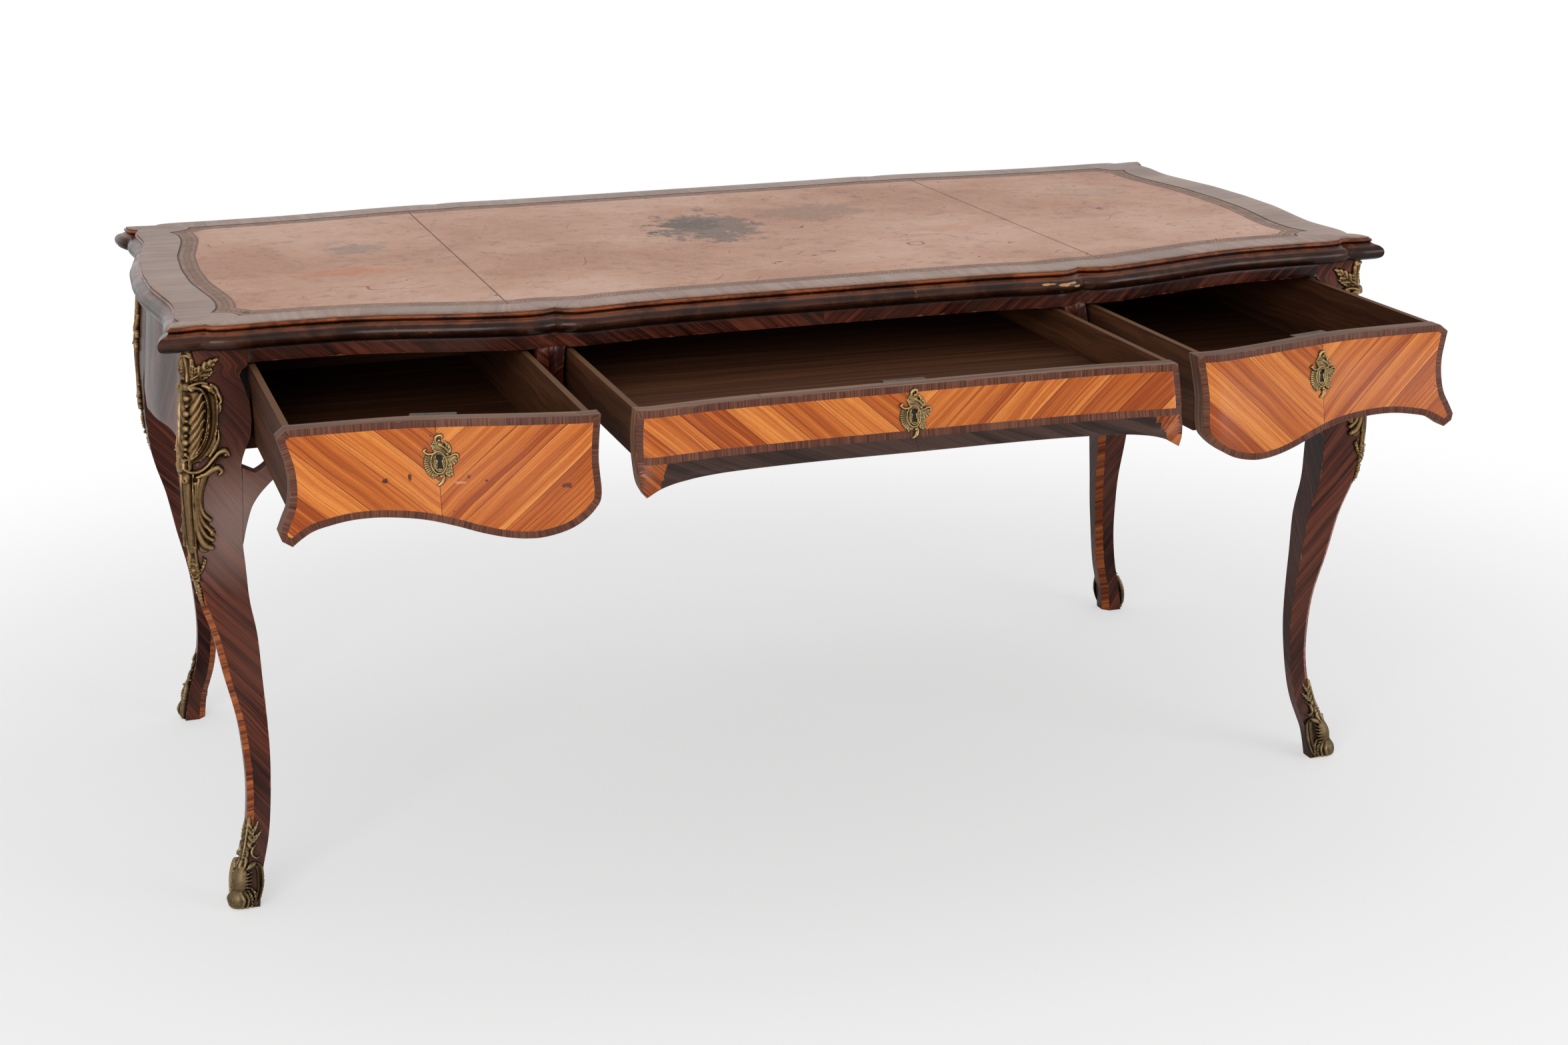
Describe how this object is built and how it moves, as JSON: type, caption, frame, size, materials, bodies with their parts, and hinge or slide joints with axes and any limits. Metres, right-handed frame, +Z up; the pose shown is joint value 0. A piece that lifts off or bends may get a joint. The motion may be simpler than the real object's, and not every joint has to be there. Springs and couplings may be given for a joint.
{
  "type": "writing table",
  "caption": "Serpentine writing table on cabriole legs, with a leather top, a moulded edge, drawers pulled out and bronze mounts on the corners.",
  "frame": {"origin": "on the floor under the middle of the whole, as it stands with its drawers out", "axes": "+X along the front to the right, -Y out of the front where the drawers open, +Z up"},
  "size_m": [1.691, 1.2266, 0.78],
  "materials": {
    "rosewood": "polished dark veneer, worn",
    "tulipwood": "french polished veneer with dark crossbanding",
    "moulding": "dark polished solid wood, rubbed and chipped",
    "border_veneer": "faded veneer, satin",
    "inner_wood": "plain wood, dark with age",
    "leather": "tooled leather, faded and stained",
    "gilt_bronze": "cast bronze with rubbed gilding",
    "lock_brass": "dull brass",
    "lock_steel": "dull steel"
  },
  "bodies": {
    "carcass": {"top_board": "inner_wood", "edge_moulding_front": "moulding", "edge_moulding_back": "moulding", "edge_moulding_left": "moulding", "edge_moulding_right": "moulding", "veneer_border": "border_veneer", "leather_skins": "leather", "leg_front_left": "rosewood", "leg_front_right": "rosewood", "leg_back_left": "rosewood", "leg_back_right": "rosewood", "knee_blocks": "rosewood", "front_rail": "rosewood", "stile_left": "rosewood", "stile_right": "rosewood", "side_panel_left": "rosewood", "side_panel_right": "rosewood", "back_panel": "inner_wood", "back_stiles": "rosewood", "sham_front_left": "tulipwood", "sham_front_centre": "tulipwood", "sham_front_right": "tulipwood", "partition_left": "inner_wood", "partition_right": "inner_wood", "runners": "inner_wood", "kickers": "inner_wood", "chute_front_left": "gilt_bronze", "chute_front_right": "gilt_bronze", "chute_back_left": "gilt_bronze", "chute_back_right": "gilt_bronze", "sabot_front_left": "gilt_bronze", "sabot_front_right": "gilt_bronze", "sabot_back_left": "gilt_bronze", "sabot_back_right": "gilt_bronze", "mount_pins": "gilt_bronze"},
    "left_drawer": {"left_front": "tulipwood", "left_side_outer": "inner_wood", "left_side_inner": "inner_wood", "left_back": "inner_wood", "left_bottom": "inner_wood", "left_escutcheon": "gilt_bronze", "left_lock_case": "lock_brass"},
    "left_bolt": {"left_lock_bolt": "lock_steel"},
    "centre_drawer": {"centre_front": "tulipwood", "centre_side_left": "inner_wood", "centre_side_right": "inner_wood", "centre_back": "inner_wood", "centre_bottom": "inner_wood", "centre_escutcheon": "gilt_bronze", "centre_lock_case": "lock_brass"},
    "centre_bolt": {"centre_lock_bolt": "lock_steel"},
    "right_drawer": {"right_front": "tulipwood", "right_side_outer": "inner_wood", "right_side_inner": "inner_wood", "right_back": "inner_wood", "right_bottom": "inner_wood", "right_escutcheon": "gilt_bronze", "right_lock_case": "lock_brass"},
    "right_bolt": {"right_lock_bolt": "lock_steel"}
  },
  "joints": [
    {"name": "left_drawer_slide", "type": "slide", "parent": "carcass", "child": "left_drawer", "axis": [0, -1, 0], "range_m": [-0.345, 0.1]},
    {"name": "left_bolt_slide", "type": "slide", "parent": "left_drawer", "child": "left_bolt", "axis": [0, 0, 1], "range_m": [0, 0.007]},
    {"name": "centre_drawer_slide", "type": "slide", "parent": "carcass", "child": "centre_drawer", "axis": [0, -1, 0], "range_m": [-0.345, 0.1]},
    {"name": "centre_bolt_slide", "type": "slide", "parent": "centre_drawer", "child": "centre_bolt", "axis": [0, 0, 1], "range_m": [0, 0.007]},
    {"name": "right_drawer_slide", "type": "slide", "parent": "carcass", "child": "right_drawer", "axis": [0, -1, 0], "range_m": [-0.326, 0.1]},
    {"name": "right_bolt_slide", "type": "slide", "parent": "right_drawer", "child": "right_bolt", "axis": [0, 0, 1], "range_m": [0, 0.007]}
  ]
}
